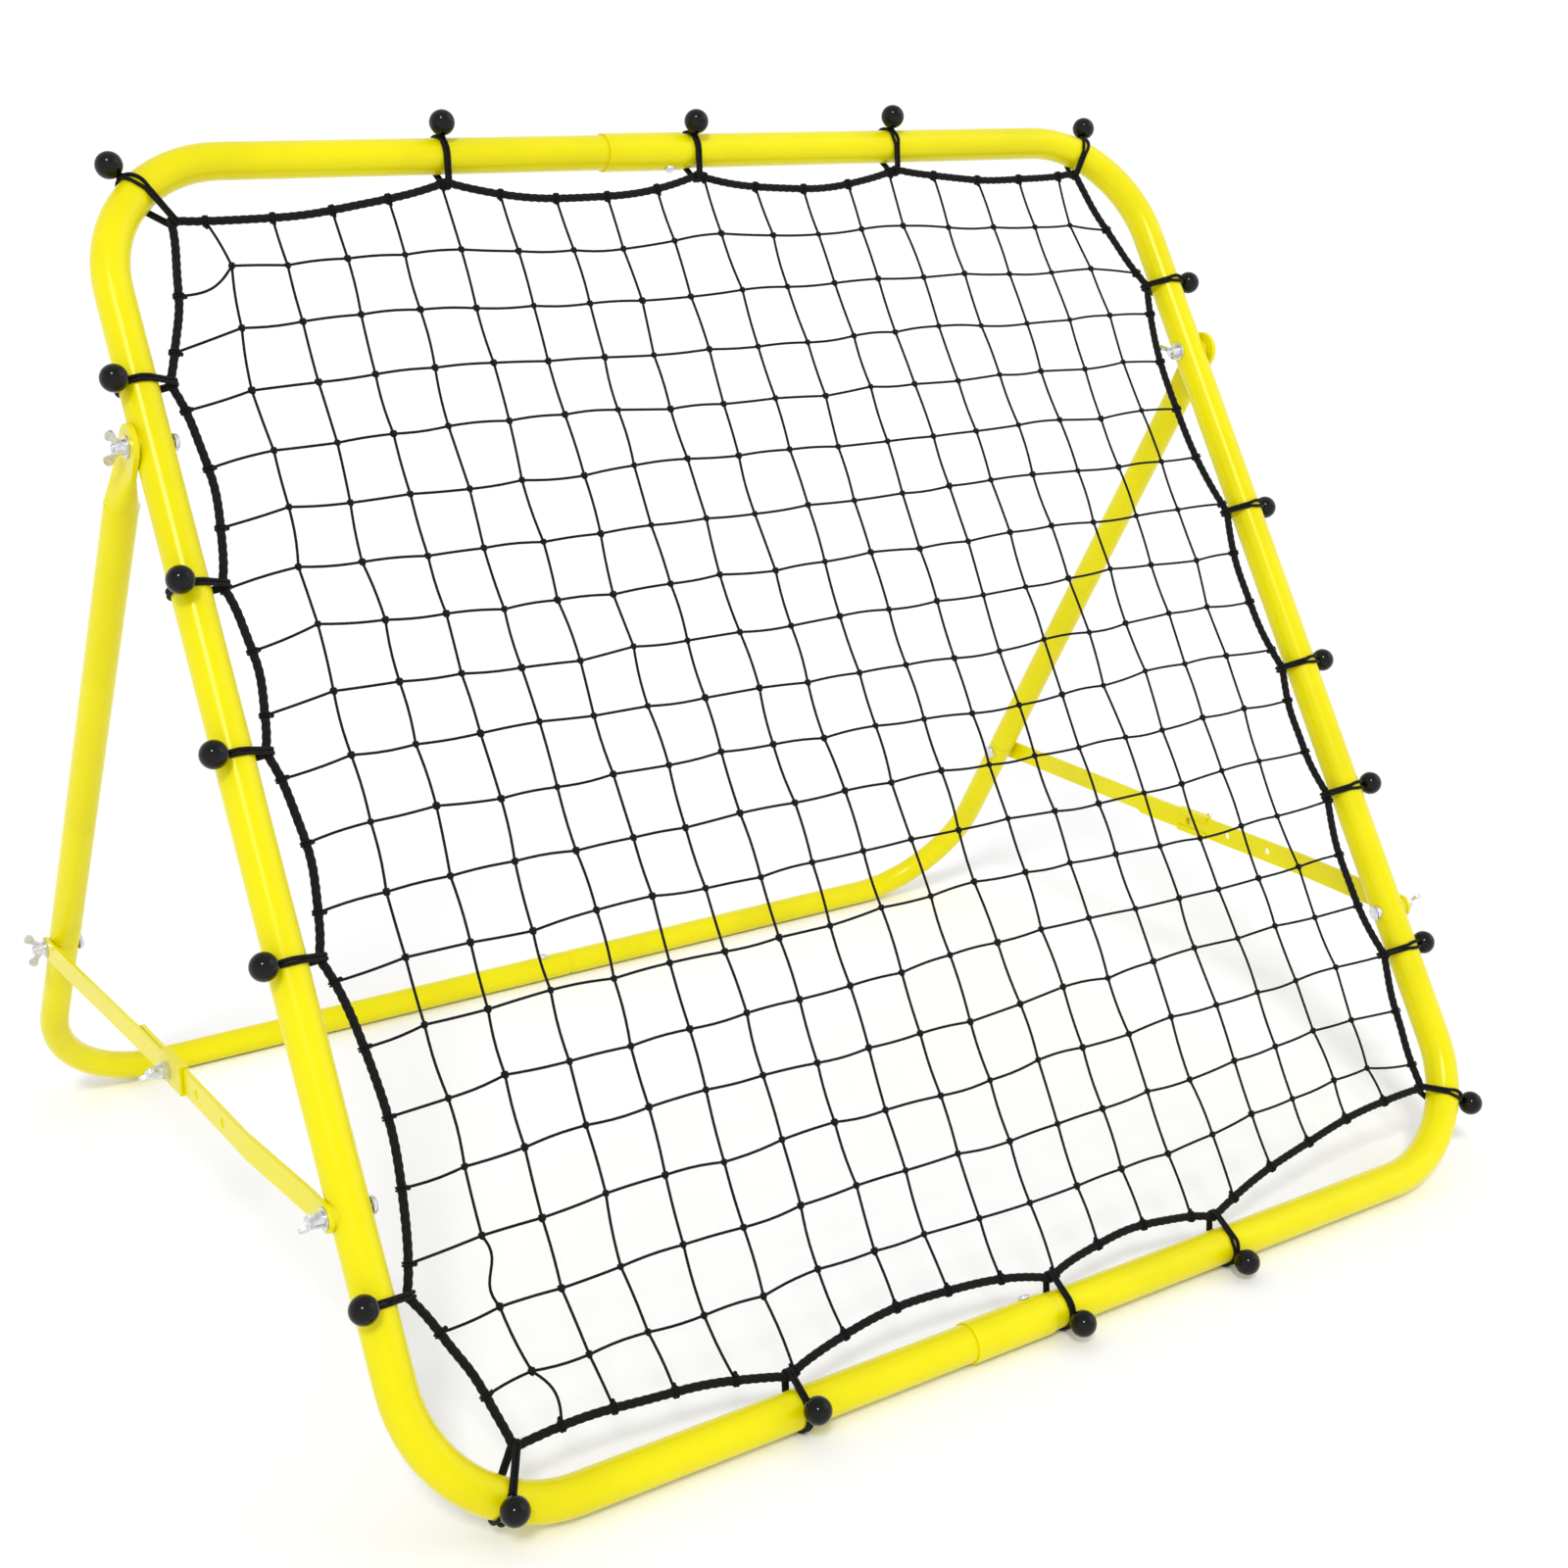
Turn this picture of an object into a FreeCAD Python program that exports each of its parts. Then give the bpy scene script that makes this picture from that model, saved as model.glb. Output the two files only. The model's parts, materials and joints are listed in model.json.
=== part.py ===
import FreeCAD, Part
import math
import os

# Pitch back rebounder: a leaning square tube frame with a net tied into it by ball bungees, a rear
# frame hinged to its sides, and two side struts that slide to set the angle.
#
# Object frame: +X to the right, -Y towards the player, +Z up, millimetres. The origin is on the
# ground, under the middle of the object's box.
#
# Frame plane: the front frame is drawn upright, with x across, y through its thickness (negative on
# the player's side) and z up the slope from the bottom tube's axis, and is then leaned back.

V = FreeCAD.Vector

# ---- driving dimensions, mm and degrees --------------------------------------------------------
FRAME_SIZE = 1000.0            # outside width and outside height of the front frame
FRONT_TUBE = 28.0              # outside diameters of the three tubes
LEG_TUBE = 25.0
BASE_TUBE = 24.0
WALL = 1.2                     # wall of every tube
FRONT_BEND = 100.0             # bend radii at the tube's axis
REAR_BEND = 110.0
BEND_CLEAR = 0.1               # gap all round where one tube slides into another

LEAN = 32.5                    # front frame, back from upright
OPENING = 63.0                 # angle between the front frame and the rear legs
HINGE_UP = 755.0               # hinge bolt, up the slope from the bottom tube's axis
PIVOT_UP = 215.0               # strut's front pivot, up the slope from the bottom tube's axis
REAR_LEG_X = 502.8             # plane of the rear legs, from the middle

SOCKET_R = 15.5                # expanded end of the right half, which takes the left half's end
SOCKET_MOUTH = -65.0
SOCKET_END = 7.0
SOCKET_TAPER = 7.0
SCREW_X = -6.0                 # joint screws, from the middle
PLUG_END = 5.0                 # end of the left half, inside the socket
SWAGE_LENGTH = 26.0            # reduced end of the right base tube, each side of the middle
SWAGE_TAPER = 5.0
PLUG_IN_LEG = 60.0             # reduced end of the base tube, inside the upper leg
PLUG_TAPER = 4.0
LEG_MOUTH = 12.0               # upper leg's mouth, above the strut's rear pivot

BOLT_R = 2.95                  # M6 shank, and the close hole for it
HOLE_R = 3.0
HEAD_R = 6.5
HEAD_THICK = 3.5
WASHER_R = 8.0
WASHER_THICK = 1.0
SADDLE_THICK = 0.6             # round spacer between the front tube and what turns on it
SADDLE_R = 9.0
GAP = 0.2                      # between faces that turn or slide on each other
SEAT_GAP = 0.1                 # between a wing nut and its washer
BOLT_PAST = 1.5                # bolt's end past its nut
SCREW_R = 2.4                  # joint screws
SCREW_HOLE_R = 2.5
SCREW_HEAD_R = 4.5
SCREW_HEAD_THICK = 2.4

NUT_HUB = 8.0                  # wing nut: hub's height and its radii at the foot and at the top
NUT_FOOT_R = 5.6
NUT_TOP_R = 4.6
WING_THICK = 2.4
WING_TIP = 14.2                # top of the wings above the foot
WING_REACH = 13.4

FLAT_THICK = 4.0               # pressed end of a rear leg
FLAT_WIDTH = 32.0
FLAT_BELOW = 16.0              # pressed end below the hinge bolt
FLAT_TRANSITION = 36.0

BAR_THICK = 3.0                # front strut bar
BAR_HIGH = 20.0
BAR_LENGTH = 347.0             # from its pivot to its rear end
BAR_JOG = (22.0, 125.0)        # its slanted stretch, from its pivot
BAR_OUT = 6.0                  # its rear stretch, outwards from its pivot's end
SLIDER_THICK = 2.5             # rear strut bar, which slides along the front bar
SLIDER_HIGH = 18.5
SLIDER_LENGTH = 316.0          # from its pivot to its front end
SLIDER_JOG = (25.0, 240.0)     # its slanted stretch, from its pivot
OPEN_PIVOT_R = 5.0             # its wide hole on the rear pivot bolt
GUIDE_LENGTH = 40.0            # its front end, folded round the front bar
GUIDE_WALL = 1.2
GUIDE_RETURN = 4.5
CLAMP_AT = 290.0               # clamp screw, from the rear pivot
CLAMP_NUT = 11.0               # weld nut under the clamp screw, across its flats
CLAMP_NUT_HIGH = 5.0
HOLE_PITCH = 53.0              # row of holes in the front bar, the first at the clamp screw
HOLE_COUNT = 3
MARK_HOLE_R = 3.5

NET_CELLS = 17                 # whole meshes from the first strand to the last, each way
NET_PITCH = 47.5
NET_STRAND = 1.8
NET_OFF_ROPE = 2.5             # strand ends, short of the rope's surface
NET_OFF_TIE = 9.5              # and clear of a tie's cord, round the rope's place there
ROPE_R = 3.25                  # border rope
ROPE_IN = 22.0                 # its axis inside the tube's axis at a tie
ROPE_SAG = 0.08                # its inward bow between ties, as a share of its span
CORNER_SAG = 0.045
ROPE_TIE_BEND = 10.0
ROPE_FILL = 0.9                # share of a half span that its bow takes up
BALL_R = 10.0
BALL_OFF = 3.0                 # ball off the tube's surface, past the cord that it holds
CORD_THICK = 2.4               # tie cord; it is doubled, so its band is two cords wide
CORD_WIDE = 6.4
CORD_OFF = 0.1                 # band off the tube
CORD_OFF_ROPE = 0.8            # its loop off the rope, where the rope is straight
ROPE_CLEAR = 0.35              # and where the rope bends
ROPE_NEAR = 18.0               # length of rope that a cord is cut clear of, each way

# Ties along each side: place from the frame's middle (top, bottom) or up the slope (left, right),
# and the ball's turn round the tube, from the player's side outwards.
TIES_TOP = ((-209.0, 41.0), (18.0, 32.0), (221.0, 41.0))
TIES_BOTTOM = ((-213.0, 6.0), (23.0, 31.0), (191.0, 37.0))
TIES_LEFT = ((153.0, 34.0), (380.0, 51.0), (525.0, 45.0), (647.0, 29.0), (799.0, 51.0))
TIES_RIGHT = ((179.0, 89.0), (326.0, 78.0), (445.0, 88.0), (596.0, 95.0), (822.0, 85.0))
# Corner ties: direction from the bend's centre, rope's axis inside the tube's, and ball's turn.
CORNER_TIES = {
    "top_left": (131.0, 30.0, 77.0),
    "top_right": (61.0, 22.0, 76.0),
    "bottom_left": (240.0, 32.0, 17.0),
    "bottom_right": (330.0, 24.0, 77.0),
}

# ---- worked out from them ----------------------------------------------------------------------
FRONT_R = FRONT_TUBE / 2
LEG_R = LEG_TUBE / 2
BASE_R = BASE_TUBE / 2
HALF = (FRAME_SIZE - FRONT_TUBE) / 2             # tube's axis from the frame's middle, each way
SPAN = 2 * HALF
BEND_FROM_MIDDLE = HALF - FRONT_BEND
GROUND_UP = FRONT_R + CORD_OFF + CORD_THICK      # the bottom tube lies on its tie cords
LEG_LEAN = OPENING - LEAN                        # rear legs, from upright
PIVOT_ARM = HINGE_UP - PIVOT_UP                  # hinge to either pivot of the strut
STRUT = 2 * PIVOT_ARM * math.sin(math.radians(OPENING / 2))
LEG_DROP = GROUND_UP + HINGE_UP * math.cos(math.radians(LEAN)) - BASE_R
LEG_LENGTH = LEG_DROP / math.cos(math.radians(LEG_LEAN))
HINGE_BACK = HINGE_UP * math.sin(math.radians(LEAN))
BASE_BACK = HINGE_BACK + LEG_LENGTH * math.sin(math.radians(LEG_LEAN))
BALL_OUT = FRONT_R + BALL_R + BALL_OFF           # ball's centre from the tube's axis
FORWARD_TURN = min(abs(turn - LEAN) for place, turn in TIES_BOTTOM)
FRONT_REACH = BALL_OUT * math.cos(math.radians(FORWARD_TURN)) + BALL_R
FRONT_Y = (FRONT_REACH - BASE_BACK - BASE_R) / 2  # puts the origin at the middle of the depth

PIVOT_FACE = HALF + FRONT_R + SADDLE_THICK       # outer face of the saddles
BAR_X = PIVOT_FACE + GAP                         # inner face of the front bar
LEG_FACE = REAR_LEG_X + FLAT_THICK / 2           # outer face of the leg's pressed end
BAR_REAR_X = BAR_X + BAR_OUT                     # inner face of its rear stretch
SLIDER_FRONT_X = BAR_REAR_X + BAR_THICK + GAP    # inner faces of the sliding bar's two ends
SLIDER_REAR_X = REAR_LEG_X + LEG_R + 2 * GAP

X_AXIS = V(1, 0, 0)
Y_AXIS = V(0, 1, 0)
Z_AXIS = V(0, 0, 1)


# ---- places ------------------------------------------------------------------------------------

def leaned(point):
    """A point of the frame plane in its place on the ground."""
    return FreeCAD.Rotation(X_AXIS, -LEAN).multVec(point) + V(0, FRONT_Y, GROUND_UP)


HINGE = leaned(V(0, 0, HINGE_UP))
PIVOT = leaned(V(0, 0, PIVOT_UP))
LEG_DOWN = V(0, math.sin(math.radians(LEG_LEAN)), -math.cos(math.radians(LEG_LEAN)))
REAR_PIVOT = HINGE + LEG_DOWN * PIVOT_ARM
STRUT_BACK = (REAR_PIVOT - PIVOT).normalize()
STRUT_PITCH = math.degrees(math.asin(STRUT_BACK.z))
CLAMP = REAR_PIVOT - STRUT_BACK * CLAMP_AT


def lean_back(shape):
    """Move a shape from the frame plane to its place on the ground."""
    shape = shape.copy()
    shape.rotate(V(0, 0, 0), X_AXIS, -LEAN)
    shape.translate(V(0, FRONT_Y, GROUND_UP))
    return shape


def on_leg(shape):
    """Move a shape with +Z up the leg and the hinge at the origin to its place."""
    shape = shape.copy()
    shape.rotate(V(0, 0, 0), X_AXIS, LEG_LEAN)
    shape.translate(HINGE)
    return shape


def on_strut(shape):
    """Move a shape with +Y back along the strut and its front pivot at the origin to its place."""
    shape = shape.copy()
    shape.rotate(V(0, 0, 0), X_AXIS, STRUT_PITCH)
    shape.translate(PIVOT)
    return shape


def on_side(shape, side):
    """A shape drawn for the right side, or its mirror image for the left side."""
    if side > 0:
        return shape
    return shape.mirror(V(0, 0, 0), X_AXIS)


# ---- common shapes -----------------------------------------------------------------------------

def rod(radius, start, end, at=V(0, 0, 0)):
    """A round rod along X from start to end, through the point at."""
    return Part.makeCylinder(radius, abs(end - start), V(min(start, end), at.y, at.z), X_AXIS)


def tube_path(route):
    """Straight runs joined by tangent arcs: route is [(corner, bend radius), ...]."""
    edges = []
    last = route[0][0]
    for before, here, after in zip(route, route[1:], route[2:]):
        corner, bend = here
        into = (corner - before[0]).normalize()
        out = (after[0] - corner).normalize()
        half_turn = into.getAngle(out) / 2
        start = corner - into * bend * math.tan(half_turn)
        end = corner + out * bend * math.tan(half_turn)
        inside = (out - into).normalize()
        middle = corner + inside * bend * (1 / math.cos(half_turn) - 1)
        edges.append(Part.LineSegment(last, start).toShape())
        edges.append(Part.Arc(start, middle, end).toShape())
        last = end
    edges.append(Part.LineSegment(last, route[-1][0]).toShape())
    return Part.Wire(edges)


def swept(route, radius):
    """A disc swept along a route."""
    direction = (route[1][0] - route[0][0]).normalize()
    disc = Part.Wire(Part.makeCircle(radius, route[0][0], direction))
    return tube_path(route).makePipeShell([disc], True, False)


def round_edges_at(solid, at, point, direction, radius):
    """Round the edges whose centre lies at a distance along a direction from a point."""
    edges = [e for e in solid.Edges if abs((e.CenterOfMass - point).dot(direction) - at) < 0.01]
    return solid.makeFillet(radius, edges)


# ---- front frame -------------------------------------------------------------------------------

def cylinder_x(radius, start, end, height):
    return rod(radius, start, end, V(0, 0, height))


def cone_x(start_r, end_r, start, end, height):
    return Part.makeCone(start_r, end_r, end - start, V(start, 0, height), X_AXIS)


def front_route(side, start):
    return [
        (V(start, 0, 0), 0),
        (V(side * HALF, 0, 0), FRONT_BEND),
        (V(side * HALF, 0, SPAN), FRONT_BEND),
        (V(start, 0, SPAN), 0),
    ]


def front_holes(side):
    """Bolt holes across one upright, and the two joint screws' holes."""
    holes = []
    for height in (HINGE_UP, PIVOT_UP):
        holes.append(cylinder_x(HOLE_R, side * (HALF - FRONT_TUBE), side * (HALF + FRONT_TUBE), height))
    holes.append(Part.makeCylinder(SCREW_HOLE_R, FRONT_TUBE, V(SCREW_X, 0, 0), Z_AXIS))
    holes.append(Part.makeCylinder(SCREW_HOLE_R, FRONT_TUBE, V(SCREW_X, 0, SPAN), Z_AXIS * -1))
    return holes


def front_tube_left():
    route = front_route(-1, PLUG_END)
    tube = swept(route, FRONT_R).cut(swept(route, FRONT_R - WALL))
    return lean_back(tube.cut(front_holes(-1)))


def front_tube_right():
    """The right half, with an expanded socket at both its ends."""
    taper_end = SOCKET_END + SOCKET_TAPER
    route = front_route(1, taper_end)
    outer = swept(route, FRONT_R)
    inner = swept(route, FRONT_R - WALL)
    bore_r = FRONT_R + BEND_CLEAR
    for height in (0, SPAN):
        outer = outer.fuse(cylinder_x(SOCKET_R, SOCKET_MOUTH, SOCKET_END, height))
        outer = outer.fuse(cone_x(SOCKET_R, FRONT_R, SOCKET_END, taper_end, height))
        inner = inner.fuse(cylinder_x(bore_r, SOCKET_MOUTH, SOCKET_END, height))
        inner = inner.fuse(cone_x(bore_r, FRONT_R - WALL, SOCKET_END, taper_end, height))
    return lean_back(outer.cut(inner).cut(front_holes(1)))


def screw(seat, out, surface_r):
    """A pan-head screw standing on a tube: seat is on the tube's axis, out is its direction."""
    under_head = surface_r + 0.05
    shank_from = surface_r - 7.0
    shank = Part.makeCylinder(SCREW_R, under_head - shank_from, seat + out * shank_from, out)
    head = Part.makeCylinder(SCREW_HEAD_R, SCREW_HEAD_THICK, seat + out * under_head, out)
    head = round_edges_at(head, under_head + SCREW_HEAD_THICK, seat, out, 1.2)
    return shank.fuse(head)


def front_joint_screws():
    low = screw(V(SCREW_X, 0, 0), Z_AXIS, SOCKET_R)
    high = screw(V(SCREW_X, 0, SPAN), Z_AXIS * -1, SOCKET_R)
    return lean_back(Part.makeCompound([low, high]))


# ---- ties, border rope and net -----------------------------------------------------------------

def tie(row, tube, out, turn, rope_in=ROPE_IN, sag=ROPE_SAG):
    """A tie: its point on the tube's axis, its way out, its ball's turn and its rope's place."""
    return {"row": row, "tube": tube, "out": out, "turn": turn, "rope_in": rope_in, "sag": sag}


def corner_tie(row, corner, side, bend_up):
    angle, rope_in, turn = CORNER_TIES[corner]
    out = V(math.cos(math.radians(angle)), 0, math.sin(math.radians(angle)))
    centre = V(side * BEND_FROM_MIDDLE, 0, bend_up)
    return tie(row, centre + out * FRONT_BEND, out, turn, rope_in, CORNER_SAG)


def all_ties():
    """Every tie, clockwise from the top."""
    high = SPAN - FRONT_BEND
    found = [tie("top", V(x, 0, SPAN), Z_AXIS, turn) for x, turn in TIES_TOP]
    found.append(corner_tie("top", "top_right", 1, high))
    found += [tie("right", V(HALF, 0, up), X_AXIS, turn) for up, turn in reversed(TIES_RIGHT)]
    found.append(corner_tie("bottom", "bottom_right", 1, FRONT_BEND))
    found += [tie("bottom", V(x, 0, 0), Z_AXIS * -1, turn) for x, turn in reversed(TIES_BOTTOM)]
    found.append(corner_tie("bottom", "bottom_left", -1, FRONT_BEND))
    found += [tie("left", V(-HALF, 0, up), X_AXIS * -1, turn) for up, turn in TIES_LEFT]
    found.append(corner_tie("top", "top_left", -1, high))
    return found


TIES = all_ties()


def rope_spans(inset):
    """Start, inward way, bow and end of the rope between each tie and the next, drawn in by inset."""
    spans = []
    for this, following in zip(TIES, TIES[1:] + TIES[:1]):
        start = this["tube"] - this["out"] * (this["rope_in"] + inset)
        end = following["tube"] - following["out"] * (following["rope_in"] + inset)
        along = end - start
        inward = V(along.z, 0, -along.x).normalize()
        bow = min(this["sag"], following["sag"]) * along.Length
        spans.append((start, inward, bow, end))
    return spans


def rope_route():
    """Corners of the rope's axis: one at each tie and one at the middle of each span."""
    route = []
    for start, inward, bow, end in rope_spans(0.0):
        route.append((start, ROPE_TIE_BEND))
        drop = bow / (1 - ROPE_FILL / 2)
        middle = (start + end) / 2 + inward * drop
        half_run = (middle - start).Length
        half_turn = math.atan2(drop, (end - start).Length / 2)
        route.append((middle, ROPE_FILL * half_run / math.tan(half_turn) * 0.96))
    return route


def border_rope():
    """The rope round the net, in two sweeps that meet on straight stretches."""
    route = rope_route()
    half = len(route) // 2
    cuts = []
    for index in (0, half):
        tie = route[index][0]
        before = route[index - 1][0]
        cuts.append(tie + (before - tie) * 0.06)
    first = [(cuts[0], 0)] + route[:half] + [(cuts[1], 0)]
    second = [(cuts[1], 0)] + route[half:] + [(cuts[0], 0)]
    rope = swept(first, ROPE_R).fuse(swept(second, ROPE_R))
    return lean_back(rope.removeSplitter())


def net():
    """Square mesh in the frame's plane, its strands ending just short of the rope."""
    half = NET_STRAND / 2
    strands = []
    for index in range(NET_CELLS + 1):
        off = (index - NET_CELLS / 2) * NET_PITCH
        strands.append(Part.makeBox(NET_STRAND, NET_STRAND, SPAN, V(off - half, -half, 0)))
        strands.append(Part.makeBox(SPAN, NET_STRAND, NET_STRAND, V(-HALF, -half, HALF + off - half)))
    arcs = []
    for start, inward, bow, end in rope_spans(ROPE_R + NET_OFF_ROPE):
        arcs.append(Part.Arc(start, (start + end) / 2 + inward * bow, end).toShape())
    outline = Part.Face(Part.Wire(arcs))
    outline.translate(V(0, -NET_STRAND, 0))
    area = outline.extrude(V(0, 2 * NET_STRAND, 0))
    cords = []
    for place in TIES:
        rope_at = place["tube"] - place["out"] * place["rope_in"] - V(0, 2 * NET_STRAND, 0)
        cords.append(Part.makeCylinder(NET_OFF_TIE, 4 * NET_STRAND, rope_at, Y_AXIS))
    mesh = strands[0].fuse(strands[1:]).common(area.cut(cords))
    return lean_back(max(mesh.Solids, key=lambda solid: solid.Volume))


def ball_centre(turn):
    """Centre of a tie's ball, where outward is +X and the player's side is -Z."""
    turn = math.radians(turn)
    return V(BALL_OUT * math.sin(turn), 0, -BALL_OUT * math.cos(turn))


def at_tie(shape, place):
    """Move a shape drawn at the origin, with outward +X and the player's side -Z, to its tie."""
    out, tube = place["out"], place["tube"]
    along = Y_AXIS.cross(out)
    shape.transformShape(FreeCAD.Matrix(
        out.x, along.x, 0, tube.x,
        out.y, along.y, 1, tube.y,
        out.z, along.z, 0, tube.z,
        0, 0, 0, 1))
    return shape


def tie_balls(row):
    balls = [at_tie(Part.makeSphere(BALL_R, ball_centre(place["turn"])), place)
             for place in TIES if place["row"] == row]
    return lean_back(Part.makeCompound(balls))


def tie_cord(place):
    """The doubled cord as one band, round the tube and the rope."""
    tube_r = FRONT_R + CORD_OFF
    rope_r = ROPE_R + CORD_OFF_ROPE
    band = belt(tube_r + CORD_THICK, rope_r + CORD_THICK, place["rope_in"])
    return band.cut(belt(tube_r, rope_r, place["rope_in"]))


def tie_cords(row):
    """The cords of one row, each cut clear of the rope, which bends where the cord holds it."""
    route = rope_route()
    cords = []
    for index, place in enumerate(TIES):
        if place["row"] != row:
            continue
        before, here, after = (route[2 * index + step][0] for step in (-1, 0, 1))
        near = [((before - here).normalize() * ROPE_NEAR + here, 0), (here, ROPE_TIE_BEND)]
        near.append(((after - here).normalize() * ROPE_NEAR + here, 0))
        cords.append(at_tie(tie_cord(place), place).cut(swept(near, ROPE_R + ROPE_CLEAR)))
    return lean_back(Part.makeCompound(cords))


def belt(big, small, apart):
    """A slab round two discs, a big one at the origin and a small one at -apart along X."""
    lean = math.asin((big - small) / apart)
    touch = V(-math.sin(lean), 0, math.cos(lean))
    mirror = V(touch.x, 0, -touch.z)
    small_at = V(-apart, 0, 0)
    edges = [
        Part.Arc(touch * big, V(big, 0, 0), mirror * big).toShape(),
        Part.LineSegment(mirror * big, small_at + mirror * small).toShape(),
        Part.Arc(small_at + mirror * small, V(-apart - small, 0, 0), small_at + touch * small).toShape(),
        Part.LineSegment(small_at + touch * small, touch * big).toShape(),
    ]
    face = Part.Face(Part.Wire(edges))
    face.translate(V(0, -CORD_WIDE / 2, 0))
    return face.extrude(V(0, CORD_WIDE, 0))


# ---- bolts, saddles, washers and wing nuts -----------------------------------------------------

def bolt(head_at, tip_at, at):
    """A bolt along X: its head stands outside head_at, and its shank ends at tip_at."""
    way = X_AXIS if tip_at > head_at else X_AXIS * -1
    seat = V(head_at, at.y, at.z)
    length = abs(tip_at - head_at)
    shank = Part.makeCylinder(BOLT_R, length, seat, way)
    tip = [e for e in shank.Edges if e.Closed and abs((e.CenterOfMass - seat).dot(way) - length) < 0.01]
    shank = shank.makeChamfer(0.6, tip)
    head = Part.makeCylinder(HEAD_R, HEAD_THICK, seat, way * -1)
    head = round_edges_at(head, HEAD_THICK, seat, way * -1, 2.0)
    return head.fuse(shank)


def washer(start, end, at):
    return rod(WASHER_R, start, end, at).cut(rod(HOLE_R + GAP, start, end, at))


def saddle(tube_x, tube_r, face_x, radius):
    """A round spacer at the origin's height, hollowed to lie on an upright tube, flat outside."""
    block = rod(radius, tube_x + tube_r * 0.7, face_x)
    tube = Part.makeCylinder(tube_r + 0.03, 4 * radius, V(tube_x, 0, -2 * radius), Z_AXIS)
    return block.cut(tube).cut(rod(HOLE_R + GAP, tube_x, face_x))


def wing_face():
    """Outline of one wing, in the plane of X, out from the foot, and Z, out from the axis."""
    foot = NUT_FOOT_R - 1.0
    root = NUT_TOP_R - 1.0
    tip = V(WING_TIP - 1.2, 0, WING_REACH - 1.4)
    edges = [
        Part.LineSegment(V(0, 0, 0), V(0, 0, foot)).toShape(),
        Part.Arc(V(0, 0, foot), V(4.5, 0, foot + 2.0), V(7.0, 0, WING_REACH - 2.4)).toShape(),
        Part.Arc(V(7.0, 0, WING_REACH - 2.4), V(9.6, 0, WING_REACH), tip).toShape(),
        Part.Arc(tip, V(WING_TIP, 0, 8.4), V(11.6, 0, 6.4)).toShape(),
        Part.Arc(V(11.6, 0, 6.4), V(9.0, 0, 5.0), V(NUT_HUB, 0, root)).toShape(),
        Part.LineSegment(V(NUT_HUB, 0, root), V(NUT_HUB, 0, 0)).toShape(),
        Part.LineSegment(V(NUT_HUB, 0, 0), V(0, 0, 0)).toShape(),
    ]
    return Part.Face(Part.Wire(edges))


def wing_head(turn):
    """A wing nut's body without its bore, with its foot at the origin and its wings towards +X."""
    face = wing_face()
    face.translate(V(0, -WING_THICK / 2, 0))
    wing = face.extrude(V(0, WING_THICK, 0))
    other = wing.copy()
    other.rotate(V(0, 0, 0), X_AXIS, 180)
    hub = Part.makeCone(NUT_FOOT_R, NUT_TOP_R, NUT_HUB, V(0, 0, 0), X_AXIS)
    head = hub.fuse([wing, other])
    head.rotate(V(0, 0, 0), X_AXIS, turn)
    return head


def wing_nut(foot_x, at, turn, inward=False):
    """A wing nut for the right side; inward turns its wings towards the middle."""
    nut = wing_head(turn).cut(rod(HOLE_R, -1, WING_TIP))
    if inward:
        nut.rotate(V(0, 0, 0), Z_AXIS, 180)
    nut.translate(V(foot_x, at.y, at.z))
    return nut


# ---- rear frame --------------------------------------------------------------------------------

def leg_section(thick, wide, corner, up):
    """A closed outline across the leg: thick along X and wide along Y, with round corners."""
    outline = [
        (V(thick / 2 - corner, wide / 2 - corner, up), 0),
        (V(corner - thick / 2, wide / 2 - corner, up), 90),
        (V(corner - thick / 2, corner - wide / 2, up), 180),
        (V(thick / 2 - corner, corner - wide / 2, up), 270),
    ]
    arcs = [Part.makeCircle(corner, centre, Z_AXIS, start, start + 90) for centre, start in outline]
    edges = []
    for arc, following in zip(arcs, arcs[1:] + arcs[:1]):
        edges.append(arc)
        edges.append(Part.LineSegment(arc.Vertexes[1].Point, following.Vertexes[0].Point).toShape())
    return Part.Wire(edges)


def flat_end():
    """The pressed end: a plate round the hinge hole, with a round top."""
    edge = FLAT_WIDTH / 2
    low = -FLAT_BELOW
    outline = [
        Part.LineSegment(V(0, edge, 0), V(0, edge, low)).toShape(),
        Part.LineSegment(V(0, edge, low), V(0, -edge, low)).toShape(),
        Part.LineSegment(V(0, -edge, low), V(0, -edge, 0)).toShape(),
        Part.Arc(V(0, -edge, 0), V(0, 0, edge), V(0, edge, 0)).toShape(),
    ]
    plate = Part.Face(Part.Wire(outline)).extrude(V(FLAT_THICK, 0, 0))
    plate.translate(V(-FLAT_THICK / 2, 0, 0))
    return plate


def rear_leg():
    """Upper leg: a round tube, pressed flat round the hinge bolt."""
    mouth = LEG_MOUTH - PIVOT_ARM
    round_end = -FLAT_BELOW - FLAT_TRANSITION
    halfway = -FLAT_BELOW - FLAT_TRANSITION / 2
    tube = Part.makeCylinder(LEG_R, round_end - mouth, V(0, 0, mouth), Z_AXIS)
    bore = Part.makeCylinder(LEG_R - WALL, round_end - mouth - 2, V(0, 0, mouth), Z_AXIS)
    sections = [
        leg_section(LEG_TUBE - 0.4, LEG_TUBE - 0.4, LEG_R - 0.4, round_end - 1),
        leg_section(FLAT_THICK + 9.0, FLAT_WIDTH - 3.0, (FLAT_THICK + 7.0) / 2, halfway),
        leg_section(FLAT_THICK - 0.2, FLAT_WIDTH - 0.4, 1.0, 1 - FLAT_BELOW),
    ]
    transition = Part.makeLoft(sections, True, False)
    leg = tube.cut(bore).fuse([transition, flat_end()])
    leg = leg.cut(rod(HOLE_R, -FLAT_THICK, FLAT_THICK))
    leg.translate(V(REAR_LEG_X, 0, 0))
    return on_leg(leg)


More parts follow.
